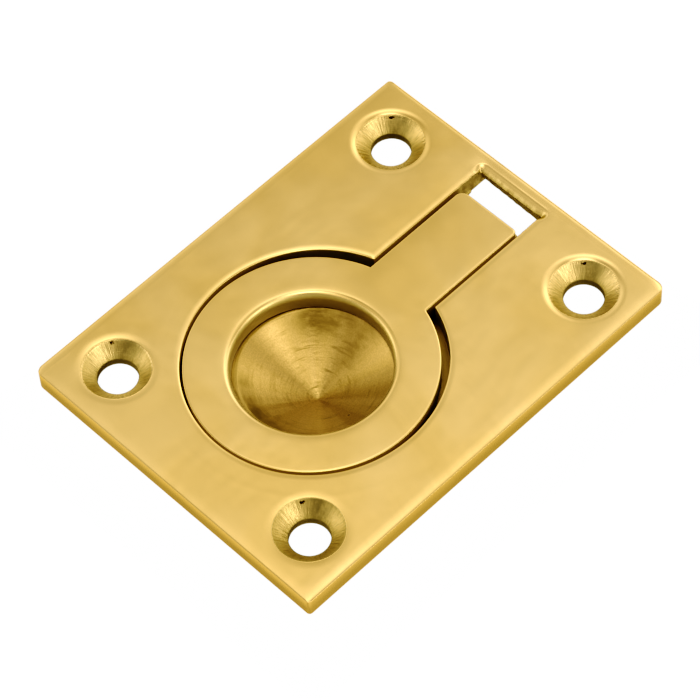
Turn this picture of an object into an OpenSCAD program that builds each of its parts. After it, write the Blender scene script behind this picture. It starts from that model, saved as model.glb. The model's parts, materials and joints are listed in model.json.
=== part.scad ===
// Flush ring pull: a polished brass plate with a keyhole opening, a hinged
// ring and shank that lie flush in it, and a turned finger cup behind.
//
// Frame: millimetres. The plate's back face is z = 0 and +Z points out of the
// door. +X runs from the ring towards the hinge. The origin is the centre of
// the four screw holes.

/* [Plate] */
// Length of the plate, along the shank
plate_length = 65; // [64:0.5:72]
// Width of the plate, across the shank
plate_width = 50; // [49:0.5:60]
// Thickness of the plate
plate_thickness = 3; // [2.6:0.1:3.6]
// Radius of the plate's corners in plan
corner_radius = 0.8; // [0.4:0.1:2]
// Bevel that breaks the plate's front outer edge
plate_edge_break = 0.25; // [0.1:0.05:0.35]

/* [Screw holes] */
// Distance from the plate's edges to the centre of each screw hole
screw_inset = 7.5; // [7:0.25:8]
// Diameter of the hole that the screw's shank passes
screw_hole_d = 5.4; // [4.4:0.1:5.6]
// Diameter of the countersink at the plate's front
countersink_d = 9.4; // [8.6:0.1:9.8]
// Included angle of the countersink
countersink_angle = 90; // [82:1:100]

/* [Ring and shank] */
// Distance from the plate's centre back to the ring's centre
ring_setback = 7.2; // [7:0.05:7.5]
// Outer diameter of the ring
ring_outer_d = 33.2; // [32:0.1:33.6]
// Inner diameter of the ring
ring_inner_d = 21.0; // [21:0.1:23]
// Width of the shank
shank_width = 10.1; // [9:0.1:11]
// Distance from the plate's centre to the shank's end
shank_end_x = 25.75; // [25.2:0.05:26]
// Radius of the corners at the shank's end, in plan
shank_end_radius = 0.8; // [0.4:0.1:1.5]
// Thickness of the ring and shank
ring_thickness = 2.9; // [2.5:0.05:2.9]
// Rounding of the ring's inner front edge, where the finger pulls
finger_edge_radius = 0.8; // [0.4:0.1:1]
// Rounding of the ring's other edges
ring_edge_radius = 0.3; // [0.15:0.05:0.4]

/* [Clearances] */
// Gap between the ring and the pocket's wall at the free end
free_end_gap = 0.19; // [0.1:0.01:0.3]
// Gap at the shank's root, which the ring moves into as it lifts
root_gap = 1.29; // [1:0.01:1.5]
// Gap on each side of the shank
shank_side_gap = 0.4; // [0.15:0.05:0.5]
// Distance from the plate's centre to the end of the slot
slot_end_x = 29.9; // [29.6:0.05:30.3]
// Height of the bevel that relieves the back edge at the slot's end
slot_relief = 0.8; // [0.2:0.1:1]

/* [Finger cup] */
// Diameter of the dish at its mouth
dish_d = 20.2; // [20:0.1:21]
// Included angle of the dish's cone
dish_angle = 117; // [115:1:130]
// Width of the flange where it laps behind the plate
cup_lap = 2.05; // [1.5:0.05:2.5]
// Thickness of the cup's flange
flange_thickness = 1.6; // [1.2:0.1:2.2]
// Outer diameter of the cup's body
cup_body_d = 25.4; // [25:0.1:28]
// Metal left under the point of the dish
cup_floor = 1.4; // [1:0.1:2.5]

/* [Hinge] */
// Diameter of the hinge pin
pin_d = 2.5; // [2:0.1:2.6]
// Radial running clearance of the pin in the shank's knuckle
pin_clearance = 0.06; // [0.03:0.01:0.1]
// Depth of the pin's centre behind the plate's back face
pin_depth = 2; // [1.9:0.05:2.2]
// Outer radius of the knuckle round the pin
knuckle_radius = 2.35; // [2.2:0.05:2.4]
// Thickness of each hinge lug
lug_thickness = 3.8; // [3:0.1:5]
// Outer radius of each lug round the pin
lug_radius = 2.6; // [2.4:0.05:3]
// Length of each lug where it leaves the plate
lug_base = 8.4; // [7.5:0.1:9]
// Diameter of the pin's riveted ends
pin_head_d = 3.7; // [3.2:0.1:4.2]
// Height of the pin's riveted ends
pin_head_h = 0.7; // [0.4:0.1:1]

/* [Hidden] */

$fn = 96;
arc_steps = 6;       // straight steps in a drawn corner arc
skin = 0.01;         // how far a cutter runs past the face it opens
relief_slope = 1.2;  // run of the slot's back bevel for each unit of height

screw_pitch_x = plate_length - 2 * screw_inset;
screw_pitch_y = plate_width - 2 * screw_inset;
countersink_depth = (countersink_d - screw_hole_d) / 2 / tan(countersink_angle / 2);

ring_x = -ring_setback;
ring_r = ring_outer_d / 2;
ring_top = plate_thickness - 0.05;
ring_bottom = ring_top - ring_thickness;

pocket_r = ring_r + (free_end_gap + root_gap) / 2;
pocket_x = ring_x + (root_gap - free_end_gap) / 2;
slot_width = shank_width + 2 * shank_side_gap;

dish_depth = dish_d / 2 / tan(dish_angle / 2);
flange_r = pocket_r + cup_lap;
cup_depth = dish_depth + cup_floor;
flange_bevel = 0.3;
cup_foot_bevel = 0.6;

pin_x = shank_end_x - knuckle_radius;
pin_r = pin_d / 2;
lug_span = slot_width + 2 * lug_thickness;
gusset_run = 3.4;  // length of the slope from the knuckle up to the shank

BRASS_POLISHED = [0.86, 0.69, 0.36];
BRASS_TURNED = [0.74, 0.57, 0.27];
BRASS_PIN = [0.66, 0.50, 0.22];

// Points of a quarter arc of radius r round the centre c, from the angle a0.
function quarter_arc(c, r, a0) = [
    for (i = [0 : arc_steps])
        c + r * [cos(a0 + 90 * i / arc_steps), sin(a0 + 90 * i / arc_steps)]
];

// Section of a bar of the given width, from z0 up to z1, whose two upper
// edges are bevelled.
function bevelled_bar(width, z0, z1, bevel) = [
    [-width / 2, z0],
    [width / 2, z0],
    [width / 2, z1 - bevel],
    [width / 2 - bevel, z1],
    [-width / 2 + bevel, z1],
    [-width / 2, z1 - bevel]
];

// A prism along Y, centred on y = 0, whose section is given in x and z.
module prism_y(section, width) {
    translate([0, width / 2, 0])
        rotate([90, 0, 0])
            linear_extrude(height = width)
                polygon(section);
}

// A prism along X, centred on x = 0, whose section is given in y and z.
module prism_x(section, length) {
    rotate([0, 0, 90])
        prism_y(section, length);
}

// A cylinder along Y, centred on the pin's axis.
module on_pin_axis(r, width) {
    translate([pin_x, 0, -pin_depth])
        rotate([90, 0, 0])
            cylinder(r = r, h = width, center = true);
}

// One round corner of the plate, bevelled like its edges.
module corner_post() {
    shoulder = plate_thickness - plate_edge_break;
    cylinder(r = corner_radius, h = shoulder);
    translate([0, 0, shoulder])
        cylinder(r1 = corner_radius, r2 = corner_radius - plate_edge_break, h = plate_edge_break);
}

// The plate's slab: two crossed bars and four corner posts.
module plate_slab() {
    inner_length = plate_length - 2 * corner_radius;
    inner_width = plate_width - 2 * corner_radius;
    prism_y(bevelled_bar(plate_length, 0, plate_thickness, plate_edge_break), inner_width);
    prism_x(bevelled_bar(plate_width, 0, plate_thickness, plate_edge_break), inner_length);
    for (x = [-1, 1], y = [-1, 1])
        translate([x * inner_length / 2, y * inner_width / 2, 0])
            corner_post();
}

// The four screw holes, countersunk from the front.
module screw_holes() {
    for (x = [-1, 1], y = [-1, 1])
        translate([x * screw_pitch_x / 2, y * screw_pitch_y / 2, 0]) {
            translate([0, 0, -skin])
                cylinder(d = screw_hole_d, h = plate_thickness + 2 * skin);
            translate([0, 0, plate_thickness - countersink_depth])
                cylinder(d1 = screw_hole_d, d2 = countersink_d, h = countersink_depth);
        }
}

// The keyhole: a round pocket for the ring and a slot for the shank.
module keyhole() {
    translate([pocket_x, 0, -skin])
        cylinder(r = pocket_r, h = plate_thickness + 2 * skin);
    translate([pocket_x, -slot_width / 2, -skin])
        cube([slot_end_x - pocket_x, slot_width, plate_thickness + 2 * skin]);
    // The back edge of the slot's end is bevelled.
    prism_y([
        [slot_end_x - skin, slot_relief],
        [slot_end_x, slot_relief],
        [slot_end_x + relief_slope * slot_relief, 0],
        [slot_end_x + relief_slope * slot_relief, -skin],
        [slot_end_x - skin, -skin]], slot_width);
}

// One hinge lug behind the plate, on the side given by 1 or -1.
module hinge_lug(side) {
    translate([0, side * (slot_width + lug_thickness) / 2, 0]) {
        prism_y([
            [pin_x - lug_base / 2, skin],
            [pin_x - lug_radius, -pin_depth],
            [pin_x + lug_radius, -pin_depth],
            [pin_x + lug_base / 2, skin]], lug_thickness);
        on_pin_axis(lug_radius, lug_thickness);
    }
}

module face_plate() {
    color(BRASS_POLISHED)
        difference() {
            union() {
                plate_slab();
                hinge_lug(1);
                hinge_lug(-1);
            }
            screw_holes();
            keyhole();
            on_pin_axis(pin_r, lug_span + 2 * skin);
        }
}

// The cup is turned: a conical dish in front and a flanged body behind.
module finger_cup() {
    body_r = cup_body_d / 2;
    color(BRASS_TURNED)
        translate([pocket_x, 0, 0])
            rotate_extrude()
                polygon([
                    [0, -dish_depth],
                    [dish_d / 2, 0],
                    [flange_r - flange_bevel, 0],
                    [flange_r, -flange_bevel],
                    [flange_r, -flange_thickness + flange_bevel],
                    [flange_r - flange_bevel, -flange_thickness],
                    [body_r, -flange_thickness],
                    [body_r, -cup_depth + cup_foot_bevel],
                    [body_r - cup_foot_bevel, -cup_depth],
                    [0, -cup_depth]]);
}

// The ring's band, with its front inner edge well rounded.
module ring_band() {
    inner = ring_inner_d / 2;
    e = ring_edge_radius;
    f = finger_edge_radius;
    translate([ring_x, 0, 0])
        rotate_extrude()
            polygon(concat(
                quarter_arc([ring_r - e, ring_top - e], e, 0),
                quarter_arc([inner + f, ring_top - f], f, 90),
                quarter_arc([inner + e, ring_bottom + e], e, 180),
                quarter_arc([ring_r - e, ring_bottom + e], e, 270)));
}

// The knuckle hangs below the shank's end and carries the pin's bore. A
// slope in front of it runs up to the shank.
module knuckle() {
    front = pin_x - knuckle_radius;
    on_pin_axis(knuckle_radius, shank_width);
    prism_y([
        [shank_end_x, ring_top - 1],
        [shank_end_x, -pin_depth],
        [front, -pin_depth],
        [front - gusset_run, ring_bottom],
        [front - gusset_run, ring_top - 1]], shank_width);
}

// The shank runs from the middle of the ring's band to its squared end.
module shank() {
    root = ring_x + (ring_r + ring_inner_d / 2) / 2;
    deep = pin_depth + knuckle_radius;
    end_post_x = shank_end_x - shank_end_radius;
    end_post_y = shank_width / 2 - shank_end_radius;
    intersection() {
        union() {
            translate([(root + shank_end_x) / 2, 0, 0])
                prism_x(
                    bevelled_bar(shank_width, ring_bottom, ring_top, ring_edge_radius),
                    shank_end_x - root);
            knuckle();
        }
        // The shank's outline in plan, with its two end corners rounded.
        translate([0, 0, -deep])
            union() {
                translate([root, -shank_width / 2, 0])
                    cube([end_post_x - root, shank_width, deep + ring_top]);
                translate([root, -end_post_y, 0])
                    cube([shank_end_x - root, 2 * end_post_y, deep + ring_top]);
                for (side = [-1, 1])
                    translate([end_post_x, side * end_post_y, 0])
                        cylinder(r = shank_end_radius, h = deep + ring_top);
            }
    }
}

module ring_handle() {
    color(BRASS_POLISHED)
        difference() {
            union() {
                ring_band();
                shank();
            }
            on_pin_axis(pin_r + pin_clearance, shank_width + 2 * skin);
        }
}

// One riveted end of the pin: a low dome standing on the lug's face.
module pin_head() {
    dome_r = (pow(pin_head_d / 2, 2) + pow(pin_head_h, 2)) / (2 * pin_head_h);
    intersection() {
        translate([0, 0, pin_head_h - dome_r])
            sphere(r = dome_r);
        cylinder(d = pin_head_d, h = pin_head_h);
    }
}

module hinge_pin() {
    color(BRASS_PIN)
        translate([pin_x, 0, -pin_depth])
            rotate([90, 0, 0]) {
                cylinder(r = pin_r, h = lug_span, center = true);
                for (turn = [0, 180])
                    rotate([turn, 0, 0])
                        translate([0, 0, lug_span / 2])
                            pin_head();
            }
}

face_plate();
finger_cup();
ring_handle();
hinge_pin();
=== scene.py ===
"""The looks of a polished brass flush ring pull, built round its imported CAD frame.

Each CAD node is replaced by one finer piece with buffed edges, turned and cast
surfaces, in the same place. Lengths below are in millimetres, in the CAD frame:
the plate's back face is z = 0, +X runs towards the hinge and +Z out of the door.
"""
import json
import math

import bmesh
import bpy
import numpy as np
from mathutils import Matrix, Vector, noise
from mathutils.geometry import delaunay_2d_cdt


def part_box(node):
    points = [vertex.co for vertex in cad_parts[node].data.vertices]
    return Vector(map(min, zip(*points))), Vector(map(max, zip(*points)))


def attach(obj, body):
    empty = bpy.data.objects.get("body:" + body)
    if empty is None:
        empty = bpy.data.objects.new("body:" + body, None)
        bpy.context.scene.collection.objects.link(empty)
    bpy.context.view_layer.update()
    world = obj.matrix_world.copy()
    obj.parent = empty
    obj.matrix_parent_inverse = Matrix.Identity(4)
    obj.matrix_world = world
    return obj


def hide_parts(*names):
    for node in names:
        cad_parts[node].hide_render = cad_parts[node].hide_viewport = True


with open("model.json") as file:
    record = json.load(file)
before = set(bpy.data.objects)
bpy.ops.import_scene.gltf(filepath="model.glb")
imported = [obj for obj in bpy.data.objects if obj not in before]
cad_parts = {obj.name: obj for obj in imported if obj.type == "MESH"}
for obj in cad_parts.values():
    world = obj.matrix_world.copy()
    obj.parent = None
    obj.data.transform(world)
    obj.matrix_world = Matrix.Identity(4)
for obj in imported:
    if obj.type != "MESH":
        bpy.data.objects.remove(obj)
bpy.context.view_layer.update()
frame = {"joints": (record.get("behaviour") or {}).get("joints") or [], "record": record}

MM = 0.001  # one millimetre, in Blender's metres


def box_mm(node):
    """Lowest and highest corner of a CAD node, in millimetres."""
    low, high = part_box(node)
    return low / MM, high / MM


# ---------------------------------------------------------------- dimensions

plate_low, plate_high = box_mm("face_plate")
cup_low, cup_high = box_mm("finger_cup")
handle_low, handle_high = box_mm("ring_handle")
pin_low, pin_high = box_mm("hinge_pin")
hinge = frame["joints"][0]
screws = frame["record"]["mounts"][0]

PLATE_TOP = plate_high.z
PLATE_HALF_X = plate_high.x
PLATE_HALF_Y = plate_high.y

HOLE_X = screws["dims"]["spacing_x_mm"] / 2
HOLE_Y = screws["dims"]["spacing_y_mm"] / 2
HOLE_R = screws["dims"]["hole_r_mm"]
COUNTERSINK_R = 4.7
LAND_RAISED = 0.10
LAND_TOP = PLATE_TOP - (COUNTERSINK_R - HOLE_R) + LAND_RAISED

CUP_X = (cup_low.x + cup_high.x) / 2
FLANGE_R = (cup_high.x - cup_low.x) / 2
CUP_LAP = 2.05
POCKET_R = FLANGE_R - CUP_LAP
CUP_BOTTOM = cup_low.z
DISH_R = 10.1
DISH_DEPTH = 6.19
DISH_HOLLOW = 0.0091  # how much the cone sags, per square millimetre
CUP_BODY_R = 12.7
FLANGE_BOTTOM = -1.6

RING_TOP = handle_high.z
RING_BOTTOM = RING_TOP - 2.9
RING_R = handle_high.y
RING_X = handle_low.x + RING_R
RING_INNER_R = 10.5
SHANK_HALF = 5.05
SHANK_END = handle_high.x
SHANK_CORNER = 0.8

SLOT_HALF = 5.45
SLOT_END = 29.9
SLOT_RELIEF_TOP = 0.8
SLOT_RELIEF_RUN = 0.96
KEYHOLE_WALL_TOP = 2.55
# The slot's end wall is rolled over: how deep, over how much growth of the outline, how many
# times that growth the end moves, and how far along the slot the roll fades in.
LIP_DROP = 0.78
LIP_WIDTH = 0.90
LIP_SPREAD = 1.35
LIP_FADE = 1.3
# The opening was fitted by hand: the pocket stands further out along X and closer in along Y,
# and the slot is wider on its +Y side. SLOT_START is measured from the pocket's middle.
POCKET_OUT = 0.06
POCKET_IN = 0.28
SLOT_WIDER = 0.12
SLOT_START = 12
# The slot's walls show the marks of filing beyond this x.
FILED_FROM = 24.5

PIN_X = hinge["pos_m"][0] / MM
PIN_Z = hinge["pos_m"][2] / MM
PIN_R = 1.25
BORE_R = 1.31
KNUCKLE_R = PIN_Z - handle_low.z
LUG_R = PIN_Z - plate_low.z
LUG_OUTER = 9.25
LUG_BASE_HALF = 4.2
GUSSET_RUN = 3.4

# Corner radii of the plate in plan, anticlockwise from the (+x, +y) corner.
CORNER_RADII = (0.55, 1.3, 0.5, 1.3)

CIRCLE_STEPS = 224
HOLE_STEPS = 96
SMOOTH_ANGLE = math.radians(34)  # faces that meet at more than this keep a sharp edge


# ------------------------------------------------------------- mesh building

def arc(cx, cy, radius, start, end, steps):
    """Points of a circular arc; the angles are in degrees and the end point is left out."""
    points = []
    for i in range(steps):
        angle = math.radians(start + (end - start) * i / steps)
        points.append((cx + radius * math.cos(angle), cy + radius * math.sin(angle)))
    return points


def line(start, end, steps):
    """Points of a straight line; the end point is left out."""
    return [
        (start[0] + (end[0] - start[0]) * i / steps, start[1] + (end[1] - start[1]) * i / steps)
        for i in range(steps)
    ]


def clamped(value):
    """value, kept between 0 and 1."""
    return min(max(value, 0.0), 1.0)


def plate_outline(inset):
    """The plate's outer edge, anticlockwise, moved inwards. Inner outlines are rounder,
    and move in about half as far at +X, where the buffed band is narrower."""
    x_high = PLATE_HALF_X - inset * max(0.5, 1 - inset)
    x_low = -PLATE_HALF_X + inset
    y_high = PLATE_HALF_Y - inset
    corners = ((x_high, y_high), (x_low, y_high), (x_low, -y_high), (x_high, -y_high))
    points = []
    for i, (x, y) in enumerate(corners):
        radius = CORNER_RADII[i] + 0.45 * inset
        cx = x - math.copysign(radius, x)
        cy = y - math.copysign(radius, y)
        points += arc(cx, cy, radius, 90 * i, 90 * i + 90, 10)
        nx, ny = corners[(i + 1) % 4]
        next_radius = CORNER_RADII[(i + 1) % 4] + 0.45 * inset
        end_angle = math.radians(90 * i + 90)
        start = (cx + radius * math.cos(end_angle), cy + radius * math.sin(end_angle))
        next_c = (nx - math.copysign(next_radius, nx), ny - math.copysign(next_radius, ny))
        end = (
            next_c[0] + next_radius * math.cos(end_angle),
            next_c[1] + next_radius * math.sin(end_angle),
        )
        points += line(start, end, 40)
    return points


def hand_fitted(x, y):
    """Moves a point of the keyhole's edge: the pocket is a little narrow, the slot wide at +Y."""
    dx = x - CUP_X
    radius = math.hypot(dx, y)
    across = (y / radius) ** 4
    pull = (POCKET_OUT - POCKET_IN * across) / radius if dx < SLOT_START else 0.0
    widened = clamped((dx - SLOT_START) / 6) * clamped(y / 2)
    return CUP_X + dx * (1 + pull), y * (1 + pull) + SLOT_WIDER * widened


def keyhole_outline(grow, relief=0.0):
    """The keyhole's edge, anticlockwise, moved outwards; relief lengthens the slot's end."""
    radius = POCKET_R + grow
    half = SLOT_HALF + grow
    end = SLOT_END + grow * LIP_SPREAD + relief
    corner = 0.3 + grow
    root_angle = math.degrees(math.asin(half / radius))
    root_x = CUP_X + radius * math.cos(math.radians(root_angle))
    points = arc(CUP_X, 0, radius, root_angle, 360 - root_angle, CIRCLE_STEPS)
    points += line((root_x, -half), (end - corner, -half), 96)
    points += arc(end - corner, -half + corner, corner, -90, 0, 6)
    points += line((end, -half + corner), (end, half - corner), 56)
    points += arc(end - corner, half - corner, corner, 0, 90, 6)
    points += line((end - corner, half), (root_x, half), 96)
    return [hand_fitted(x, y) for x, y in points]


def handle_outline(inset):
    """The outer edge of the ring and shank, anticlockwise, moved inwards."""
    radius = RING_R - inset
    half = SHANK_HALF - inset
    end = SHANK_END - inset
    near = max(SHANK_CORNER - inset, 0.02)
    far = SHANK_CORNER + 0.4 - inset
    root_angle = math.degrees(math.asin(half / radius))
    root_x = RING_X + radius * math.cos(math.radians(root_angle))
    points = arc(RING_X, 0, radius, root_angle, 360 - root_angle, CIRCLE_STEPS)
    points += line((root_x, -half), (end - near, -half), 60)
    points += arc(end - near, -half + near, near, -90, 0, 10)
    points += line((end, -half + near), (end, half - far), 30)
    points += arc(end - far, half - far, far, 0, 90, 10)
    points += line((end - far, half), (root_x, half), 60)
    return points


def circle_outline(cx, cy, radius, steps):
    return arc(cx, cy, radius, 0, 360, steps)


def add_loop(bm, points, z):
    return [bm.verts.new((x * MM, y * MM, z * MM)) for x, y in points]


def bridge(bm, lower, upper):
    """Quads between two closed loops. Faces look outwards if the loops run anticlockwise
    round solid metal, with lower the one nearer the back."""
    count = len(lower)
    for i in range(count):
        j = (i + 1) % count
        bm.faces.new((lower[i], lower[j], upper[j], upper[i]))


def skin_loops(bm, loops):
    for lower, upper in zip(loops, loops[1:]):
        bridge(bm, lower, upper)


def inside(points, polygon):
    """For each point, whether it lies inside the polygon. Both are arrays of x and y."""
    result = np.zeros(len(points), bool)
    x, y = points[:, 0], points[:, 1]
    ends = np.roll(polygon, -1, axis=0)
    for (x0, y0), (x1, y1) in zip(polygon, ends):
        if y0 == y1:
            continue
        crosses = (y0 > y) != (y1 > y)
        result ^= crosses & (x < (x1 - x0) * (y - y0) / (y1 - y0) + x0)
    return result


def fill_face(bm, outer, holes, z, upwards, spacing):
    """Fills the flat region between an outer loop and its holes with even triangles."""
    loops = [outer] + holes
    outlines = [np.array([(v.co.x / MM, v.co.y / MM) for v in loop]) for loop in loops]
    low, high = outlines[0].min(0), outlines[0].max(0)
    grid = np.array([
        (x + (spacing / 2 if row % 2 else 0), y)
        for row, y in enumerate(np.arange(low[1], high[1], spacing * 0.87))
        for x in np.arange(low[0], high[0], spacing)
    ])
    keep = inside(grid, outlines[0])
    for hole in outlines[1:]:
        keep &= ~inside(grid, hole)
    edge_points = np.vstack(outlines)
    gaps = np.array([np.min(np.hypot(*(edge_points - p).T)) for p in grid[keep]])
    extra = grid[keep][gaps > spacing * 0.6]
    known = [v for loop in loops for v in loop]
    known += [bm.verts.new((x * MM, y * MM, z * MM)) for x, y in extra]
    flat = [Vector((v.co.x / MM, v.co.y / MM)) for v in known]
    edges, start = [], 0
    for loop in loops:
        edges += [(start + i, start + (i + 1) % len(loop)) for i in range(len(loop))]
        start += len(loop)
    points, _, triangles, origin, _, _ = delaunay_2d_cdt(flat, edges, [], 0, 1e-6)
    middles = np.array([np.mean([points[i] for i in t], axis=0) for t in triangles])
    use = inside(middles, outlines[0])
    for hole in outlines[1:]:
        use &= ~inside(middles, hole)
    for triangle, wanted in zip(triangles, use):
        if not wanted:
            continue
        corner = [known[origin[i][0]] for i in triangle]
        if not upwards:
            corner.reverse()
        bm.faces.new(corner)


def smooth(bm):
    """Smooth faces, with sharp edges where they meet at more than SMOOTH_ANGLE."""
    for face in bm.faces:
        face.smooth = True
    for edge in bm.edges:
        if len(edge.link_faces) == 2:
            edge.smooth = edge.calc_face_angle(0) < SMOOTH_ANGLE


def mesh_object(name, bm):
    """A new smooth object from bm, which is freed."""
    bmesh.ops.recalc_face_normals(bm, faces=bm.faces)
    smooth(bm)
    mesh = bpy.data.meshes.new(name)
    bm.to_mesh(mesh)
    bm.free()
    obj = bpy.data.objects.new(name, mesh)
    bpy.context.scene.collection.objects.link(obj)
    return obj


def boolean(obj, tool, operation):
    """Applies a boolean of obj with tool, and removes the tool."""
    modifier = obj.modifiers.new("cut", "BOOLEAN")
    modifier.operation = operation
    modifier.object = tool
    modifier.solver = "EXACT"
    graph = bpy.context.evaluated_depsgraph_get()
    result = bpy.data.meshes.new_from_object(obj.evaluated_get(graph))
    obj.modifiers.clear()
    old, obj.data = obj.data, result
    bpy.data.meshes.remove(old)
    bpy.data.objects.remove(tool)
    bm = bmesh.new()
    bm.from_mesh(result)
    bmesh.ops.remove_doubles(bm, verts=bm.verts, dist=1e-7)
    bmesh.ops.dissolve_degenerate(bm, edges=bm.edges, dist=1e-7)
    smooth(bm)
    bm.to_mesh(result)
    bm.free()


def prism_along_y(name, section, y_low, y_high, bevel):
    """A closed prism along Y from an x and z section, with its end edges bevelled."""
    bm = bmesh.new()
    middle_x = sum(p[0] for p in section) / len(section)
    middle_z = sum(p[1] for p in section) / len(section)
    loops = []
    for y, shrink in (
        (y_low, bevel), (y_low + bevel * 0.3, bevel * 0.3), (y_low + bevel, 0),
        (y_high - bevel, 0), (y_high - bevel * 0.3, bevel * 0.3), (y_high, bevel),
    ):
        loop = []
        for x, z in section:
            away = Vector((x - middle_x, z - middle_z))
            scale = max(away.length - shrink, 0) / away.length
            loop.append(bm.verts.new((
                (middle_x + away.x * scale) * MM, y * MM, (middle_z + away.y * scale) * MM)))
        loops.append(loop)
    skin_loops(bm, loops)
    bm.faces.new(list(reversed(loops[0])))
    bm.faces.new(loops[-1])
    return mesh_object(name, bm)


def lathe(name, profile, steps, centre_x=0.0, wobble=None):
    """A solid of revolution round a vertical axis. The profile is a list of (radius, z)
    that starts and ends on the axis; wobble may move a point (x, y, z)."""
    bm = bmesh.new()
    loops = []
    for radius, z in profile:
        if radius < 1e-6:
            loops.append([bm.verts.new((centre_x * MM, 0, z * MM))])
            continue
        loops.append(add_loop(bm, circle_outline(centre_x, 0, radius, steps), z))
    for first, second in zip(loops, loops[1:]):
        for i in range(steps):
            j = (i + 1) % steps
            if len(first) == 1:
                bm.faces.new((first[0], second[i], second[j]))
            elif len(second) == 1:
                bm.faces.new((first[j], first[i], second[0]))
            else:
                bm.faces.new((first[i], second[i], second[j], first[j]))
    if wobble:
        for vert in bm.verts:
            vert.co = Vector(wobble(vert.co / MM)) * MM
    return mesh_object(name, bm)


# -------------------------------------------------------------------- pieces

# Buffed edges, as (distance from the edge, drop below the face).
OUTER_ROLL = (
    (0.0, 0.46), (0.02, 0.33), (0.07, 0.245), (0.16, 0.180), (0.30, 0.128),
    (0.50, 0.082), (0.74, 0.046), (1.00, 0.021), (1.22, 0.008), (1.40, 0.002), (1.55, 0.0),
)
# How strongly each edge of the plate was buffed: +X, +Y, -X, -Y.
EDGE_BUFFING = (0.9, 0.7, 0.26, 0.5)
OPENING_ROLL = (
    (0.0, 0.20), (0.015, 0.145), (0.05, 0.105), (0.11, 0.075), (0.20, 0.050),
    (0.33, 0.029), (0.50, 0.013), (0.68, 0.004), (0.82, 0.0005), (0.90, 0.0),
)
HOLE_ROLL = (
    (0.0, 0.285), (0.04, 0.252), (0.10, 0.217), (0.18, 0.180), (0.28, 0.141),
    (0.42, 0.096), (0.57, 0.058), (0.74, 0.027), (0.90, 0.010), (1.03, 0.003), (1.15, 0.0),
)
HANDLE_ROLL = (
    (0.0, 0.17), (0.012, 0.105), (0.035, 0.062), (0.07, 0.036),
    (0.12, 0.018), (0.19, 0.007), (0.27, 0.002), (0.36, 0.0),
)


def end_share(x):
    """0 along the opening, rising to 1 at the slot's end wall."""
    return clamped((x - SLOT_END + LIP_FADE) / LIP_FADE) ** 2


def lip_drop(grow):
    """How far the slot's rolled end lip has dropped at a distance from its wall."""
    return LIP_DROP * max(1.0 - grow / LIP_WIDTH, 0.0) ** 2


def filed(x, y, z):
    """Where hand filing left a point of the slot's wall, as x and y. The end wall is rough,
    with a notch near its -Y corner. The side walls wave and bulge, more at +Y."""
    if x > SLOT_END - 0.05:
        notch = clamped((-4.55 - y) / 0.25)
        rough = noise.noise(Vector((y * 1.9, 4.0, z * 1.2)))
        return x + 0.08 * notch + 0.05 * rough, y
    near_end = clamped((x - FILED_FROM) / 1.5)
    wave = noise.noise(Vector((x * 1.5, math.copysign(3.0, y), z * 0.8)))
    wave += 0.6 * noise.noise(Vector((x * 3.7, math.copysign(5.0, y), z * 2.3)))
    depth = (PLATE_TOP - z) / PLATE_TOP
    bulge = 0.08 * depth * math.exp(-((x - 28.2) / 0.9) ** 2)
    strength = 0.13 if y > 0 else 0.05
    return x, y + math.copysign(near_end, y) * (strength * wave - bulge)


def edge_buffing(x, y):
    """How strongly the plate is buffed at a point of its edge. The nearest side counts most,
    so that the corners blend."""
    weights = []
    for gap in (PLATE_HALF_X - x, PLATE_HALF_Y - y, PLATE_HALF_X + x, PLATE_HALF_Y + y):
        weights.append(1.0 / (gap + 0.12) ** 2)
    blend = sum(weight * buffing for weight, buffing in zip(weights, EDGE_BUFFING))
    return blend / sum(weights)


def plate_sides(bm):
    """The plate's side and buffed rim; returns the loops that bound its back and its face."""
    back_break = 0.12
    side = [
        add_loop(bm, plate_outline(back_break), 0.0),
        add_loop(bm, plate_outline(0.0), back_break),
        add_loop(bm, plate_outline(0.0), 1.3),
    ]
    for inset, drop in OUTER_ROLL:
        loop = add_loop(bm, plate_outline(inset), PLATE_TOP)
        for vert in loop:
            vert.co.z -= drop * edge_buffing(vert.co.x / MM, vert.co.y / MM) * MM
        side.append(loop)
    skin_loops(bm, side)
    return side[0], side[-1]


def keyhole_wall_z(vert, z):
    """The height of a wall point: at the slot's end the relief below is taller and tilted,
    and the rolled lip above reaches further down."""
    share = end_share(vert.co.x / MM)
    low = SLOT_RELIEF_TOP + share * (0.45 + 0.25 * vert.co.y / MM / SLOT_HALF)
    high = KEYHOLE_WALL_TOP - share * 0.45
    return low + (high - low) * (z - SLOT_RELIEF_TOP) / (KEYHOLE_WALL_TOP - SLOT_RELIEF_TOP)


def keyhole_wall(bm):
    """The keyhole's wall and buffed edge; returns the loops at the back and at the face."""
    wall = [add_loop(bm, keyhole_outline(0.0, SLOT_RELIEF_RUN), 0.0)]
    for z in (SLOT_RELIEF_TOP, 1.1, 1.4, 1.7, 2.0, 2.3, KEYHOLE_WALL_TOP):
        loop = add_loop(bm, keyhole_outline(0.0), z)
        for vert in loop:
            vert.co.z = keyhole_wall_z(vert, z) * MM
        wall.append(loop)
    for grow, drop in OPENING_ROLL:
        loop = add_loop(bm, keyhole_outline(grow), PLATE_TOP)
        for vert in loop:
            near_end = end_share(vert.co.x / MM)
            vert.co.z -= (drop * (1 - near_end) + lip_drop(grow) * near_end) * MM
        wall.append(loop)
    skin_loops(bm, wall)
    # Filing moves the wall, but not the back edge or the loops nearest the face.
    for loop in wall[1:-4]:
        for vert in loop:
            x, y, z = vert.co / MM
            if x > FILED_FROM:
                vert.co.x, vert.co.y = (value * MM for value in filed(x, y, z))
    return wall[0], wall[-1]


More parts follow.
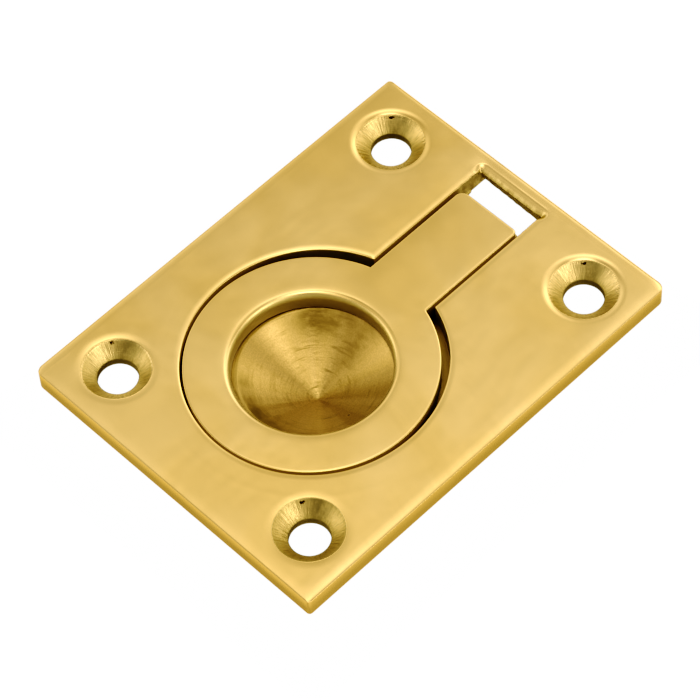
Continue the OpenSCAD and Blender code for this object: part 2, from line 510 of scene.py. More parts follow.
def screw_hole(bm, sign_x, sign_y):
    """One countersunk hole, with less buffing of its rim at -X; returns the loops at the
    back and at the face."""
    buffing = 1.0 if sign_x > 0 else 0.24 + 0.08 * sign_y
    rim_r = COUNTERSINK_R - 0.14 * buffing
    profile = [
        (HOLE_R + 0.04, 0.0), (HOLE_R, 0.04), (HOLE_R, LAND_TOP - 0.03),
        (HOLE_R + 0.03, LAND_TOP + 0.01), (HOLE_R + 0.5, LAND_TOP + 0.45),
        (HOLE_R + 1.1, LAND_TOP + 1.0), (COUNTERSINK_R - 0.35, PLATE_TOP - 0.43),
    ]
    profile += [(rim_r + away, PLATE_TOP - drop * buffing) for away, drop in HOLE_ROLL]
    loops = [
        add_loop(bm, circle_outline(sign_x * HOLE_X, sign_y * HOLE_Y, radius, HOLE_STEPS), z)
        for radius, z in profile
    ]
    skin_loops(bm, loops)
    return loops[0], loops[-1]


def plate_body():
    """The plate: buffed face, keyhole, countersunk holes, cast lugs behind."""
    bm = bmesh.new()
    side_back, side_face = plate_sides(bm)
    openings = [keyhole_wall(bm)]
    openings += [screw_hole(bm, sign_x, sign_y) for sign_x in (-1, 1) for sign_y in (-1, 1)]
    fill_face(bm, side_face, [face for back, face in openings], PLATE_TOP, True, 1.25)
    fill_face(bm, side_back, [back for back, face in openings], 0.0, False, 2.5)
    plate = mesh_object("plate_body", bm)
    for sign in (-1, 1):
        boolean(plate, hinge_lug(sign), "UNION")
    boolean(plate, pin_cutter(PIN_R + 0.004, LUG_OUTER + 0.5), "DIFFERENCE")
    return plate


def hinge_lug(sign):
    """One cast lug, rounded below the pin and flared where it meets the plate."""
    inner, outer = SLOT_HALF + 0.02, LUG_OUTER
    section = arc(PIN_X, PIN_Z, LUG_R, 180, 361, 28)
    flare = (
        (LUG_R + 0.06, PIN_Z + 0.5), (LUG_R + 0.28, PIN_Z + 1.0), (LUG_R + 0.7, PIN_Z + 1.45),
        (LUG_BASE_HALF - 0.25, PIN_Z + 1.75), (LUG_BASE_HALF + 0.5, PIN_Z + 2.0),
        (LUG_BASE_HALF + 0.5, 0.3),
    )
    section += [(PIN_X + run, z) for run, z in flare]
    section += [(PIN_X - run, z) for run, z in reversed(flare)]
    low, high = sorted((sign * inner, sign * outer))
    return prism_along_y("lug", section, low, high, 0.28)


def pin_cutter(radius, half_length):
    """A cylinder on the pin's axis, for cutting a bore."""
    section = arc(PIN_X, PIN_Z, radius, 0, 360, 48)
    return prism_along_y("bore", section, -half_length, half_length, 0.01)


def handle_sides(bm):
    """The side of the ring and shank; returns the loops that bound its bottom and its top."""
    side = [
        add_loop(bm, handle_outline(0.25), RING_BOTTOM),
        add_loop(bm, handle_outline(0.08), RING_BOTTOM + 0.08),
        add_loop(bm, handle_outline(0.0), RING_BOTTOM + 0.25),
        add_loop(bm, handle_outline(0.0), RING_BOTTOM + 1.4),
    ]
    for inset, drop in HANDLE_ROLL:
        loop = add_loop(bm, handle_outline(inset), RING_TOP)
        for vert in loop:
            on_shank = clamped((vert.co.x / MM - 6) / 4)
            vert.co.z -= drop * (1 + 0.5 * on_shank) * MM
        side.append(loop)
    skin_loops(bm, side)
    return side[0], side[-1]


def finger_edge(bm):
    """The ring's hole, rounded where the finger pulls; returns its bottom and top loops."""
    fillet = 0.95
    profile = [
        (RING_INNER_R + 0.3, RING_BOTTOM), (RING_INNER_R + 0.09, RING_BOTTOM + 0.09),
        (RING_INNER_R, RING_BOTTOM + 0.3), (RING_INNER_R, RING_TOP - 0.3 - fillet),
    ]
    for i in range(12):
        angle = math.radians(180 - 7.8 * i)
        profile.append((
            RING_INNER_R + fillet + fillet * math.cos(angle),
            RING_TOP - 0.02 - fillet + fillet * math.sin(angle),
        ))
    for away, drop in ((0.15, 0.012), (0.4, 0.005), (0.7, 0.001), (1.0, 0.0)):
        profile.append((RING_INNER_R + fillet + away, RING_TOP - drop))
    loops = [add_loop(bm, circle_outline(RING_X, 0, r, CIRCLE_STEPS), z) for r, z in profile]
    skin_loops(bm, loops)
    return loops[0], loops[-1]


def ring_and_shank():
    """The ring and shank, with a rounded finger edge, and the knuckle below."""
    bm = bmesh.new()
    side_bottom, side_top = handle_sides(bm)
    hole_bottom, hole_top = finger_edge(bm)
    fill_face(bm, side_top, [hole_top], RING_TOP, True, 1.1)
    fill_face(bm, side_bottom, [hole_bottom], RING_BOTTOM, False, 2.0)
    handle = mesh_object("ring_and_shank", bm)
    boolean(handle, knuckle(), "UNION")
    boolean(handle, pin_cutter(BORE_R, SHANK_HALF + 1), "DIFFERENCE")
    return handle


def knuckle():
    """The barrel below the shank's end, with the slope that runs up to the shank."""
    front = PIN_X - KNUCKLE_R
    top = RING_TOP - 0.9
    section = arc(PIN_X, PIN_Z, KNUCKLE_R - 0.01, 180, 361, 28)
    section += [(PIN_X + KNUCKLE_R - 0.01, top), (front - GUSSET_RUN, top)]
    section += [
        (front - GUSSET_RUN * (1 - t), RING_BOTTOM * (1 - t) ** 2 + PIN_Z * (1 - (1 - t) ** 2))
        for t in (0.0, 0.2, 0.4, 0.6, 0.8)
    ]
    return prism_along_y("knuckle", section, -SHANK_HALF + 0.03, SHANK_HALF - 0.03, 0.2)


def finger_cup():
    """The turned cup: conical dish, flange with its braze fillet, body and faced foot."""
    lip = 0.06
    slope = DISH_DEPTH / DISH_R
    profile = [(0, -DISH_DEPTH + 0.05), (0.12, -DISH_DEPTH + 0.09)]
    rings = 26
    for i in range(1, rings + 1):
        radius = (DISH_R - lip) * i / rings
        sag = DISH_HOLLOW * radius * (DISH_R - radius)
        profile.append((radius, -DISH_DEPTH + radius * slope - sag))
    profile += [
        (DISH_R - 0.02, -0.02), (DISH_R + 0.03, -0.004), (DISH_R + 0.3, 0.0),
        (POCKET_R - 0.6, 0.0), (POCKET_R + 0.6, 0.0),
        (FLANGE_R + 0.55, 0.0), (FLANGE_R + 0.3, -0.12), (FLANGE_R + 0.1, -0.3),
        (FLANGE_R, -0.6), (FLANGE_R, FLANGE_BOTTOM + 0.25),
        (FLANGE_R - 0.08, FLANGE_BOTTOM + 0.08), (FLANGE_R - 0.25, FLANGE_BOTTOM),
        (CUP_BODY_R + 0.5, FLANGE_BOTTOM), (CUP_BODY_R + 0.18, FLANGE_BOTTOM - 0.12),
        (CUP_BODY_R, FLANGE_BOTTOM - 0.4), (CUP_BODY_R, CUP_BOTTOM + 0.6),
        (CUP_BODY_R - 0.15, CUP_BOTTOM + 0.2), (CUP_BODY_R - 0.55, CUP_BOTTOM),
        (CUP_BODY_R - 1.6, CUP_BOTTOM), (CUP_BODY_R - 1.75, CUP_BOTTOM + 0.12),
        (1.6, CUP_BOTTOM + 0.12), (1.4, CUP_BOTTOM + 0.35), (0, CUP_BOTTOM + 0.95),
    ]
    return lathe("finger_cup_turned", profile, 256, CUP_X)


def hinge_pin():
    """The pin, with both ends hammered into low domes over the lugs."""
    head_r = (pin_high.z - pin_low.z) / 2
    head_h = pin_high.y - LUG_OUTER
    profile = [(0, head_h)]
    for i in range(1, 11):
        angle = math.radians(9 * i)
        profile.append((head_r * math.sin(angle), head_h * (0.12 + 0.88 * math.cos(angle))))
    profile += [(head_r - 0.05, 0.01), (PIN_R, 0.0)]
    upper = [(r, z + LUG_OUTER) for r, z in profile]
    lower = [(r, -z - LUG_OUTER) for r, z in reversed(profile)]

    def hammered(co):
        if abs(co.z) < LUG_OUTER + 0.05:
            return co
        dent = noise.noise(Vector((co.x * 1.4, co.y * 1.4, co.z * 0.7)))
        return (co.x, co.y, co.z - math.copysign(0.09 * (0.6 + dent), co.z))

    pin = lathe("hinge_pin_riveted", upper + lower, 64, 0.0, hammered)
    turn = Matrix.Translation((PIN_X * MM, 0, PIN_Z * MM)) @ Matrix.Rotation(math.pi / 2, 4, "X")
    pin.data.transform(turn)
    return pin


# ----------------------------------------------------------------- materials

def add_node(tree, kind, inputs=None, **settings):
    """A shader node. Inputs are values or sockets, by name or index; settings are its own."""
    new = tree.nodes.new("ShaderNode" + kind)
    for key, value in settings.items():
        setattr(new, key, value)
    for key, value in (inputs or {}).items():
        if isinstance(value, bpy.types.NodeSocket):
            tree.links.new(value, new.inputs[key])
        else:
            new.inputs[key].default_value = value
    return new


def math_node(tree, operation, *values):
    return add_node(tree, "Math", dict(enumerate(values)), operation=operation).outputs[0]


def times(tree, first, second):
    return math_node(tree, "MULTIPLY", first, second)


def plus(tree, first, second):
    return math_node(tree, "ADD", first, second)


def minus(tree, first, second):
    return math_node(tree, "SUBTRACT", first, second)


def absolute(tree, value):
    return math_node(tree, "ABSOLUTE", value)


def split(tree, vector):
    """The x, y and z of a vector."""
    return add_node(tree, "SeparateXYZ", {0: vector}).outputs


def joined(tree, *axes):
    """A vector from its x, y and, if given, z."""
    return add_node(tree, "CombineXYZ", dict(enumerate(axes))).outputs[0]


def length(tree, x, y):
    return math_node(tree, "SQRT", plus(tree, times(tree, x, x), times(tree, y, y)))


def ramp(tree, value, low, high, out_low=0.0, out_high=1.0):
    """value moved from the range low..high to out_low..out_high, smoothly and clamped."""
    return add_node(tree, "MapRange", {
        "Value": value, "From Min": low, "From Max": high, "To Min": out_low, "To Max": out_high,
    }, interpolation_type="SMOOTHSTEP").outputs["Result"]


def bell(tree, value, middle, width):
    """1 where value is middle, falling to 0 about two widths away."""
    off = math_node(tree, "DIVIDE", minus(tree, value, middle), width)
    return math_node(tree, "EXPONENT", times(tree, times(tree, off, off), -1.0))


def noise_value(tree, place, scale, detail=2.0, roughness=0.5, distortion=0.0):
    return add_node(tree, "TexNoise", {
        "Vector": place, "Scale": scale, "Detail": detail, "Roughness": roughness,
        "Distortion": distortion,
    }).outputs["Fac"]


# Where the colour Mix node keeps its factor, its two colours and its result.
MIX_FACTOR, MIX_FIRST, MIX_SECOND, MIX_RESULT = 0, 6, 7, 2


def mix_colour(tree, factor, first, second, **settings):
    """first where factor is 0, second where it is 1."""
    inputs = {MIX_FACTOR: factor, MIX_FIRST: first, MIX_SECOND: second}
    return add_node(tree, "Mix", inputs, data_type="RGBA", **settings).outputs[MIX_RESULT]


def rgba(red, green, blue):
    return (red, green, blue, 1.0)


def stretched(tree, place, x, y, z):
    """place with each axis scaled, so that a texture is drawn out along the small ones."""
    return add_node(tree, "VectorMath", {0: place, 1: (x, y, z)}, operation="MULTIPLY").outputs[0]


def bump(tree, height, distance, normal=None):
    inputs = {"Height": height, "Distance": distance}
    if normal is not None:
        inputs["Normal"] = normal
    return add_node(tree, "Bump", inputs).outputs["Normal"]


BRASS_PALE = rgba(0.88, 0.605, 0.240)
BRASS_DEEP = rgba(0.83, 0.555, 0.200)
# Grime, stains, grain and tool lines, and also the painted shade in narrow gaps and near the dish's
# rim.
GRIME_AND_SHADE = rgba(0.30, 0.20, 0.06)
# Painted shade: upright faces are painted darker than the polished face, and the plate's outer side
# darker still.
WALL_BRASS_SHADED = rgba(0.66, 0.50, 0.19)
SIDE_BRASS_SHADED = rgba(0.54, 0.335, 0.095)
ROD_BRASS = rgba(0.62, 0.37, 0.07)
TURNED = rgba(0.72, 0.475, 0.175)
TURNED_DEEP = rgba(0.65, 0.425, 0.145)
# Tarnish of the holes' land and streaks, and also the painted shade on one side of each
# countersink.
HOLE_TARNISH_AND_SHADE = rgba(0.34, 0.26, 0.10)
PIT_DARK = rgba(0.05, 0.03, 0.01)
# Painted reflection tints: what a colour is multiplied by where another brass surface mirrors it.
MIRRORED_TINT = rgba(0.62, 0.80, 1.1)
DISH_MIRRORED_TINT = rgba(0.78, 1.08, 2.8)
# The painted glow in the narrow gaps, standing in for light: its colour, and its strength near the
# face.
GAP_BROWN = rgba(1.0, 0.62, 0.20)
GAP_GLOW = 0.14


def new_brass(name):
    """A brass material and its tree, object coordinates and shader node."""
    material = bpy.data.materials.new(name)
    material.use_nodes = True
    tree = material.node_tree
    shader = tree.nodes["Principled BSDF"]
    shader.inputs["Metallic"].default_value = 1.0
    shader.inputs["Specular Tint"].default_value = rgba(0.95, 0.84, 0.60)
    place = add_node(tree, "TexCoord").outputs["Object"]
    return material, tree, shader, place


def finish_brass(tree, shader, colour, rough, normal, tint):
    """Joins the three to the shader; tint is the painted reflection tint, how other surfaces mirror
    the colour.
    """
    tree.links.new(painted_reflection_colour(tree, colour, tint), shader.inputs["Base Color"])
    tree.links.new(rough, shader.inputs["Roughness"])
    tree.links.new(normal, shader.inputs["Normal"])


def brushed_outwards(tree, shader, outwards, strength):
    """Spreads highlights across lines that run round an axis; outwards points away from it."""
    tangent = add_node(tree, "VectorMath", {0: outwards}, operation="NORMALIZE").outputs[0]
    tree.links.new(tangent, shader.inputs["Tangent"])
    if isinstance(strength, bpy.types.NodeSocket):
        tree.links.new(strength, shader.inputs["Anisotropic"])
    else:
        shader.inputs["Anisotropic"].default_value = strength


def painted_reflection_colour(tree, colour, tint):
    """The colour as one brass surface shows another, with a painted reflection tint: multiplied by
    tint, which greys it, dimmer for most brass and paler for the dish.
    """
    depth = add_node(tree, "LightPath").outputs["Ray Depth"]
    mirrored = math_node(tree, "MINIMUM", depth, 1.0)
    painted_tone = mix_colour(tree, 1.0, colour, tint, blend_type="MULTIPLY")
    return mix_colour(tree, mirrored, colour, painted_tone)


def openness(tree, distance, closed, clear):
    """1 in the open and 0 in gaps narrower than distance, between two shares of open sky."""
    sky = add_node(tree, "AmbientOcclusion", {"Distance": distance}, samples=6).outputs["AO"]
    return ramp(tree, sky, closed, clear)


def buffed_height(tree, place, axes):
    """The low waves that hand buffing leaves on the face, in metres."""
    wander = noise_value(tree, place, 130.0, 2.0)
    wander = math_node(tree, "MULTIPLY_ADD", wander, 0.0010, -0.0005)
    total = 0.0
    for axis, middle, width in (
            (axes[0], PLATE_HALF_X - 1.25, 0.30), (axes[1], PLATE_HALF_Y - 1.0, 0.25)):
        ridge = bell(tree, plus(tree, axis, wander), middle * MM, width * MM)
        total = math_node(tree, "MULTIPLY_ADD", ridge, 0.007 * MM, total)

    radius = length(tree, minus(tree, axes[0], CUP_X * MM), axes[1])
    ripple = bell(tree, radius, (POCKET_R + 3.4) * MM, 0.5 * MM)
    ripple = times(tree, ripple, ramp(tree, axes[0], -0.022, -0.010, 1.0, 0.0))
    total = math_node(tree, "MULTIPLY_ADD", ripple, 0.003 * MM, total)

    beside = bell(tree, plus(tree, axes[1], wander), SLOT_HALF * MM, 2.0 * MM)
    beside = times(tree, beside, ramp(tree, axes[0], 0.004, 0.010))
    return math_node(tree, "MULTIPLY_ADD", beside, -0.05 * MM, total)


def outer_side(tree, axes):
    """1 on the plate's outer side, 0 further in."""
    out_x = minus(tree, absolute(tree, axes[0]), (PLATE_HALF_X - 0.3) * MM)
    out_y = minus(tree, absolute(tree, axes[1]), (PLATE_HALF_Y - 0.3) * MM)
    return ramp(tree, math_node(tree, "MAXIMUM", out_x, out_y), 0.0, 0.0002)


def wall_colour(tree, place, axes, outside):
    """Upright faces, painted darker than the face as shade: stained in the slot, and with a deeper
    painted shade on the plate's outer side.
    """
    in_slot = times(
        tree, ramp(tree, axes[0], 0.020, 0.024),
        ramp(tree, absolute(tree, axes[1]), 0.0060, 0.0068, 1.0, 0.0))
    mottle = ramp(tree, noise_value(tree, place, 900.0, 3.0, 0.6), 0.42, 0.62, 0.0, 0.6)
    clean = minus(tree, 1.0, times(tree, in_slot, mottle))
    inner = mix_colour(tree, clean, GRIME_AND_SHADE, WALL_BRASS_SHADED)
    return mix_colour(tree, outside, inner, SIDE_BRASS_SHADED)


def nearest_hole(tree, axes):
    """Where a point lies round its nearest screw hole. The four holes fold onto one in |x|
    and |y|: folded_angle mirrors from hole to hole, and angle does not."""
    sign_x = math_node(tree, "SIGN", axes[0])
    sign_y = math_node(tree, "SIGN", axes[1])
    folded_x = minus(tree, absolute(tree, axes[0]), HOLE_X * MM)
    folded_y = minus(tree, absolute(tree, axes[1]), HOLE_Y * MM)
    x, y = times(tree, folded_x, sign_x), times(tree, folded_y, sign_y)
    radius = length(tree, folded_x, folded_y)
    rim = COUNTERSINK_R * MM
    return {
        "sign_x": sign_x,
        "sign_y": sign_y,
        "radius": radius,
        "folded_angle": math_node(tree, "ARCTAN2", folded_y, folded_x),
        "angle": math_node(tree, "ARCTAN2", y, x),
        "outwards": joined(tree, x, y),
        "inside": ramp(tree, radius, rim - 0.12 * MM, rim + 0.02 * MM, 1.0, 0.0),
    }


def countersink_chip(tree, place, hole):
    """1 in the small ragged chip high in each countersink, towards +X and +Y."""
    middle = math_node(tree, "MULTIPLY_ADD", hole["sign_x"], -0.12, 0.87)
    chip = times(
        tree, bell(tree, minus(tree, hole["angle"], middle), 0.0, 0.085),
        bell(tree, hole["radius"], (COUNTERSINK_R - 0.38) * MM, 0.16 * MM))
    ragged = ramp(tree, noise_value(tree, place, 2100.0, 3.0, 0.6), 0.40, 0.52)
    return ramp(tree, times(tree, chip, ragged), 0.15, 0.5)


def countersink_colour(tree, colour, place, hole):
    """Adds the tarnished land, a painted shade on the +X side of each countersink towards +Y,
    streaks that run down the cone, and a chip.
    """
    land = ramp(tree, hole["radius"], (HOLE_R + 0.02) * MM, (HOLE_R + 0.12) * MM, 1.0, 0.0)
    # Painted shade, patchy, on the same side of every countersink.
    patchy = ramp(tree, noise_value(tree, place, 700.0, 3.0, 0.6), 0.35, 0.6, 0.5, 0.95)
    painted_tone = times(tree, bell(tree, hole["angle"], 0.45, 0.42), patchy)
    streaks = noise_value(tree, joined(
        tree, times(tree, hole["angle"], 17.0), times(tree, hole["radius"], 900.0),
        times(tree, hole["sign_y"], 5.0)), 1.0, 4.0, 0.65)
    streaks = ramp(tree, streaks, 0.44, 0.66, 0.0, 0.42)
    colour = mix_colour(tree, times(tree, land, 0.8), colour, HOLE_TARNISH_AND_SHADE)
    colour = mix_colour(tree, times(tree, painted_tone, hole["inside"]), colour, HOLE_TARNISH_AND_SHADE)
    colour = mix_colour(tree, times(tree, streaks, hole["inside"]), colour, HOLE_TARNISH_AND_SHADE)
    return mix_colour(tree, countersink_chip(tree, place, hole), colour, PIT_DARK)


def countersink_height(tree, hole):
    """The countersink tool's chatter, and its fine lines round the cone."""
    chatter = noise_value(tree, joined(
        tree, times(tree, hole["folded_angle"], 12.0), times(tree, hole["radius"], 260.0),
        times(tree, hole["sign_x"], 7.0)), 1.0, 3.0, 0.65)
    lines = noise_value(tree, joined(
        tree, times(tree, hole["radius"], 9000.0), times(tree, hole["folded_angle"], 0.8)),
        1.0, 2.0, 0.6)
    return times(tree, plus(tree, chatter, times(tree, lines, 0.25)), hole["inside"])


def polished_normal(tree, place, axes, cloud, wall, behind, hole):
    """Every scale of unevenness, from the waves of the polish to the cast grain behind."""
    across = add_node(tree, "VectorRotate", {"Vector": place, "Angle": math.radians(20)}).outputs[0]
    streaks = noise_value(tree, stretched(tree, across, 1.0, 0.22, 1.0), 170.0, 3.0, 0.6, 0.3)
    fine = noise_value(tree, stretched(tree, place, 1.0, 0.35, 1.0), 2600.0, 3.0, 0.6)
    grain = noise_value(tree, stretched(tree, place, 1.0, 1.0, 0.12), 5200.0, 2.0, 0.6)
    cast = noise_value(tree, place, 1500.0, 4.0, 0.6)
    buffed = times(tree, buffed_height(tree, place, axes), minus(tree, 1.0, wall))
    normal = bump(tree, cloud, 0.00012)
    normal = bump(tree, streaks, 0.00004, normal)
    normal = bump(tree, buffed, 1.0, normal)
    normal = bump(tree, fine, 0.0000004, normal)
    normal = bump(tree, times(tree, grain, wall), 0.000018, normal)
    normal = bump(tree, times(tree, cast, behind), 0.00012, normal)
    return bump(tree, countersink_height(tree, hole), 0.00009, normal)


def polished_brass(name):
    """Satin polished face; duller sides, painted darker as shade; painted shade and a painted glow
    in narrow gaps; cast surface behind; turned countersinks, painted darker on one side.
    """
    material, tree, shader, place = new_brass(name)
    axes = split(tree, place)
    facing = split(tree, add_node(tree, "TexCoord").outputs["Normal"])
    wall = ramp(tree, facing[2], 0.55, 0.9, 1.0, 0.0)
    behind = ramp(tree, axes[2], -0.0001, 0.0003, 1.0, 0.0)
    outside = outer_side(tree, axes)
    inner_wall = times(tree, wall, minus(tree, 1.0, outside))
    open_space = openness(tree, 0.0012, 0.15, 0.75)
    hole = nearest_hole(tree, axes)
    cloud = noise_value(tree, place, 55.0, 3.0, 0.55, 0.4)

    upright = wall_colour(tree, place, axes, outside)
    colour = mix_colour(tree, ramp(tree, cloud, 0.35, 0.65), BRASS_DEEP, BRASS_PALE)
    # Upright faces take their painted shade, and their stains in the slot.
    colour = mix_colour(tree, times(tree, wall, 0.85), colour, upright)
    # Painted shade: darker in gaps narrower than 1.2 mm.
    colour = mix_colour(tree, open_space, GRIME_AND_SHADE, colour)
    colour = countersink_colour(tree, colour, place, hole)

    rough = ramp(tree, noise_value(tree, place, 240.0, 3.0), 0.3, 0.7, 0.13, 0.19)
    for share, more in ((wall, 0.12), (inner_wall, 0.25), (behind, 0.16), (hole["inside"], 0.04)):
        rough = math_node(tree, "MULTIPLY_ADD", share, more, rough)

    normal = polished_normal(tree, place, axes, cloud, wall, behind, hole)
    finish_brass(tree, shader, colour, rough, normal, MIRRORED_TINT)
    brushed_outwards(tree, shader, hole["outwards"], times(tree, hole["inside"], 0.6))

    # Painted light: the walls of narrow gaps glow faintly near the face, standing in for soft light
    # that reaches into them.
    glow = times(tree, minus(tree, 1.0, open_space), inner_wall)
    glow = times(tree, glow, ramp(tree, axes[2], 0.0012, 0.0026, 0.0, GAP_GLOW))
    shader.inputs["Emission Color"].default_value = GAP_BROWN
    tree.links.new(glow, shader.inputs["Emission Strength"])
    return material


def dish_rim_shade(tree, radius, angle):
    """Painted shade near the rim between +X and +Y, towards the slot, and near the rim at -X."""
    far_rim = ramp(tree, radius, 0.0055, 0.0092, 0.0, 1.15)
    slot_side = ramp(tree, radius, 0.0030, 0.0060, 0.0, 0.55)
    near_rim = ramp(tree, radius, 0.0074, 0.0099, 0.0, 1.1)
    far_rim = times(tree, bell(tree, angle, 0.70, 0.42), far_rim)
    slot_side = times(tree, bell(tree, angle, 0.02, 0.27), slot_side)
    near_rim = times(tree, bell(tree, absolute(tree, angle), 2.85, 0.6), near_rim)
    return plus(tree, plus(tree, far_rim, slot_side), near_rim)


def casting_pores(tree, place):
    """1 in small scattered pores, 0 elsewhere."""
    pores = add_node(tree, "TexVoronoi", {"Vector": place, "Scale": 420.0}).outputs["Distance"]
    here = ramp(tree, noise_value(tree, place, 330.0, 1.0), 0.60, 0.66)
    return times(tree, ramp(tree, pores, 0.05, 0.13, 1.0, 0.0), here)


def turned_brass(name):
    """Brass fresh from the lathe: fine rings round the cup's axis, painted shade near the rim and
    in narrow gaps, small pores.
    """
    material, tree, shader, place = new_brass(name)
    axes = split(tree, place)
    x = minus(tree, axes[0], CUP_X * MM)
    radius = length(tree, x, axes[1])
    angle = math_node(tree, "ARCTAN2", axes[1], x)
    along = minus(tree, radius, axes[2])

    def ring_noise(across, round_, detail):
        """Noise with its own scale across the tool lines and round them."""
        drawn_out = joined(tree, times(tree, along, across), times(tree, angle, round_))
        return noise_value(tree, drawn_out, 1.0, detail, 0.6)

    rings = ring_noise(4300.0, 2.2, 4.0)
    sectors = ring_noise(60.0, 3.0, 3.0)
    scratches = ramp(tree, ring_noise(2700.0, 1.3, 3.0), 0.60, 0.72, 0.0, 0.45)
    lines = ramp(tree, ring_noise(5200.0, 0.8, 2.0), 0.50, 0.62, 0.0, 0.75)
    lines = times(tree, lines, ramp(tree, bell(tree, angle, 0.8, 0.6), 0.0, 1.0, 0.4, 1.3))
    lines = times(tree, lines, ramp(tree, noise_value(tree, place, 260.0, 2.0), 0.42, 0.60))
    streaky = ramp(tree, ring_noise(1500.0, 2.4, 3.0), 0.35, 0.65, 0.45, 1.2)
    # Painted shade near the dish's rim, broken into streaks.
    rim_shade = times(tree, dish_rim_shade(tree, radius, angle), streaky)
    speckle = noise_value(tree, place, 5200.0, 2.0, 0.6)
    pore = casting_pores(tree, place)

    colour = mix_colour(tree, ramp(tree, sectors, 0.35, 0.68), TURNED_DEEP, TURNED)
    # The painted rim shade, then grain, tool lines and scratches, each darkening the colour.
    for shade_and_grime in (rim_shade, ramp(tree, speckle, 0.35, 0.65, 0.26, 0.0), lines, scratches):
        colour = mix_colour(tree, shade_and_grime, colour, GRIME_AND_SHADE)
    colour = mix_colour(tree, pore, colour, PIT_DARK)
    # Painted shade: darker where the dish is hemmed in, within 3 mm.
    colour = mix_colour(tree, openness(tree, 0.0030, 0.05, 0.55), GRIME_AND_SHADE, colour)

    normal = bump(tree, rings, 0.00004)
    normal = bump(tree, speckle, 0.000004, normal)
    normal = bump(tree, sectors, 0.00002, normal)
    normal = bump(tree, times(tree, pore, -1.0), 0.0001, normal)

    rough = ramp(tree, sectors, 0.3, 0.7, 0.29, 0.36)
    finish_brass(tree, shader, colour, rough, normal, DISH_MIRRORED_TINT)
    brushed_outwards(tree, shader, joined(tree, x, axes[1]), 0.7)
    return material


def pin_brass(name):
    """Drawn rod, duller than the plate, with small hammer marks on its ends."""
    material, tree, shader, place = new_brass(name)
    mottle = noise_value(tree, place, 900.0, 3.0, 0.6)
    drawn = noise_value(tree, stretched(tree, place, 1.0, 0.06, 1.0), 5000.0, 2.0)
    dents = add_node(tree, "TexVoronoi", {"Vector": place, "Scale": 1500.0}).outputs["Distance"]
    colour = mix_colour(tree, ramp(tree, mottle, 0.35, 0.65), ROD_BRASS, BRASS_DEEP)
    rough = ramp(tree, mottle, 0.3, 0.7, 0.3, 0.46)
    normal = bump(tree, dents, 0.00004, bump(tree, drawn, 0.00001))
    finish_brass(tree, shader, colour, rough, normal, MIRRORED_TINT)
    return material


# The floor's brightness as the brass sees it, and the share of it left under the plate.
FLOOR_GLOW = 1.4
FLOOR_SHADE = 0.20


def floor_shade(tree):
    """The soft shadow under the plate: FLOOR_SHADE below it, and 1 well outside its edges."""
    axes = split(tree, add_node(tree, "TexCoord").outputs["Object"])
    beyond = math_node(
        tree, "MAXIMUM",
        minus(tree, absolute(tree, axes[0]), PLATE_HALF_X * MM),
        minus(tree, absolute(tree, axes[1]), PLATE_HALF_Y * MM))
    return ramp(tree, beyond, -0.004, 0.014, FLOOR_SHADE, 1.0)


def floor_white():
    """A pale sweep that the camera sees evenly white. The brass sees it shaded by the plate."""
    material = bpy.data.materials.new("floor_white")
    material.use_nodes = True
    tree = material.node_tree
    seen = add_node(tree, "LightPath").outputs["Is Camera Ray"]
    glow = times(tree, floor_shade(tree), FLOOR_GLOW)
    strength = math_node(tree, "MAXIMUM", seen, glow)
    lit = add_node(tree, "Emission", {"Color": rgba(1, 1, 1), "Strength": strength})
    tree.links.new(lit.outputs[0], tree.nodes["Material Output"].inputs["Surface"])
    return material


# The room's light, apart from the soft boxes.
AMBIENT = 0.01
# The camera, as solved from the photograph; azimuth 0 is +X, 90 is +Y, and lengths in metres.
CAMERA_AZIMUTH = -131.58
CAMERA_ELEVATION = 55.76
CAMERA_ROLL = 4.26
CAMERA_DISTANCE = 0.45993
CAMERA_LENS = 184.18
CAMERA_SHIFT = (0.000168, 0.002805)
# The camera hides a small round part of the room from the brass.
CAMERA_TIGHTNESS = 160.0
# The picture's contrast: scene brightness and what it is shown as.
TONE = ((0.03, 0.002), (0.06, 0.009), (0.10, 0.037), (0.17, 0.115), (0.25, 0.218), (0.36, 0.347))
# Soft boxes as (azimuth, elevation, tightness, strength). The last three are low and dim.
SOFT_BOXES = (
    (345, 62, 25, 0.7),
    (48, 72, 40, 1.75),
    (262, 56, 25, 1.25),
    (284, 29, 30, 4.3),
    (186, 57, 25, 1.1),
    (154, 26, 18, 0.80),
    (78, 36, 12, 0.93),
    (14, 40, 20, 1.5),
    (120, 14, 14, 1.4),
    (336, 13, 18, 1.8),
    (308, 45, 22, 0.55),
    (48, 12, 10, 0.6),
    (228, 79, 45, 3.1),
    (228, 46, 12, 0.20),
    (128, 56, 24, 0.55),
    (130, 10, 20, 1.0),
    (2, 26, 16, 0.7),
    (228, 6, 16, 0.9),
    (180, 5, 16, 0.8),
    (274, 5, 16, 0.7),
)


# ------------------------------------------------------------------ assembly

def place_piece(piece, node, body, material):
    """Puts a piece in the place of its CAD node, on the body that carries it."""
    piece.data.materials.clear()
    piece.data.materials.append(material)
    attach(piece, body)
    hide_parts(node)


polished = polished_brass("polished_brass")
place_piece(plate_body(), "face_plate", "plate", polished)
place_piece(ring_and_shank(), "ring_handle", "ring", polished)
place_piece(finger_cup(), "finger_cup", "plate", turned_brass("turned_brass"))
place_piece(hinge_pin(), "hinge_pin", "plate", pin_brass("pin_brass"))


# --------------------------------------------------------- floor, light, camera

def make_floor():
    """A wide flat sheet just under the cup's foot."""
    bm = bmesh.new()
    bmesh.ops.create_grid(bm, x_segments=4, y_segments=4, size=1.5)
    floor = mesh_object("floor", bm)
    floor.location.z = (CUP_BOTTOM - 0.05) * MM
    floor.data.materials.append(floor_white())


def towards(azimuth, elevation):
    """Unit vector to a place in the room."""
    a, e = math.radians(azimuth), math.radians(elevation)
    return (math.cos(a) * math.cos(e), math.sin(a) * math.cos(e), math.sin(e))


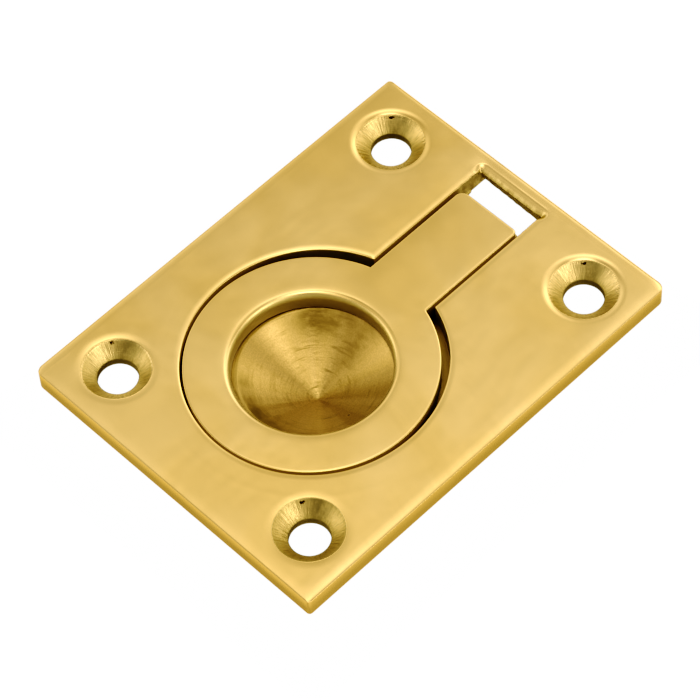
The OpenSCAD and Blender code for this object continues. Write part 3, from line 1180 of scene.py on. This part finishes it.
def lobe(tree, direction, azimuth, elevation, tightness):
    """A soft round spot on the room's wall: 1 in its middle, falling off all round."""
    along = add_node(
        tree, "VectorMath", {0: direction, 1: towards(azimuth, elevation)},
        operation="DOT_PRODUCT").outputs["Value"]
    off = math_node(tree, "MULTIPLY_ADD", along, tightness, -tightness)
    return math_node(tree, "EXPONENT", off)


def make_world():
    """A dim white room with soft boxes round the object, dark where the camera stands."""
    world = bpy.data.worlds.new("studio")
    bpy.context.scene.world = world
    world.use_nodes = True
    tree = world.node_tree
    direction = add_node(tree, "TexCoord").outputs["Generated"]
    total = AMBIENT
    for azimuth, elevation, tightness, strength in SOFT_BOXES:
        spot = lobe(tree, direction, azimuth, elevation, tightness)
        total = math_node(tree, "MULTIPLY_ADD", spot, strength, total)
    camera = lobe(tree, direction, CAMERA_AZIMUTH, CAMERA_ELEVATION, CAMERA_TIGHTNESS)
    total = times(tree, total, minus(tree, 1.0, camera))
    tree.nodes["Background"].inputs["Color"].default_value = rgba(1, 1, 1)
    tree.links.new(total, tree.nodes["Background"].inputs["Strength"])


def make_camera():
    """The photograph's viewpoint: high over the ring's free end, near (-x, -y) corner."""
    aim = Vector((0, 0, PLATE_TOP * MM))
    back = Vector(towards(CAMERA_AZIMUTH, CAMERA_ELEVATION))
    turn = back.to_track_quat("Z", "Y").to_matrix()
    turn = turn @ Matrix.Rotation(math.radians(-CAMERA_ROLL), 3, "Z")
    data = bpy.data.cameras.new("camera")
    data.lens = CAMERA_LENS
    data.sensor_width = 36.0
    data.clip_start = 0.01
    data.clip_end = 10
    camera = bpy.data.objects.new("camera", data)
    camera.location = aim + back * CAMERA_DISTANCE - turn @ Vector((*CAMERA_SHIFT, 0))
    camera.rotation_euler = turn.to_euler()
    bpy.context.scene.collection.objects.link(camera)
    bpy.context.scene.camera = camera


def set_tone():
    """Shows brightness by the TONE curve, and straight on above it."""
    view = bpy.context.scene.view_settings
    view.view_transform = "Standard"
    view.look = "None"
    view.use_curve_mapping = True
    whole_picture = view.curve_mapping.curves[3]
    for brightness, shown in TONE:
        whole_picture.points.new(brightness, shown)
    view.curve_mapping.extend = "EXTRAPOLATED"
    view.curve_mapping.update()


make_floor()
make_world()
make_camera()
set_tone()
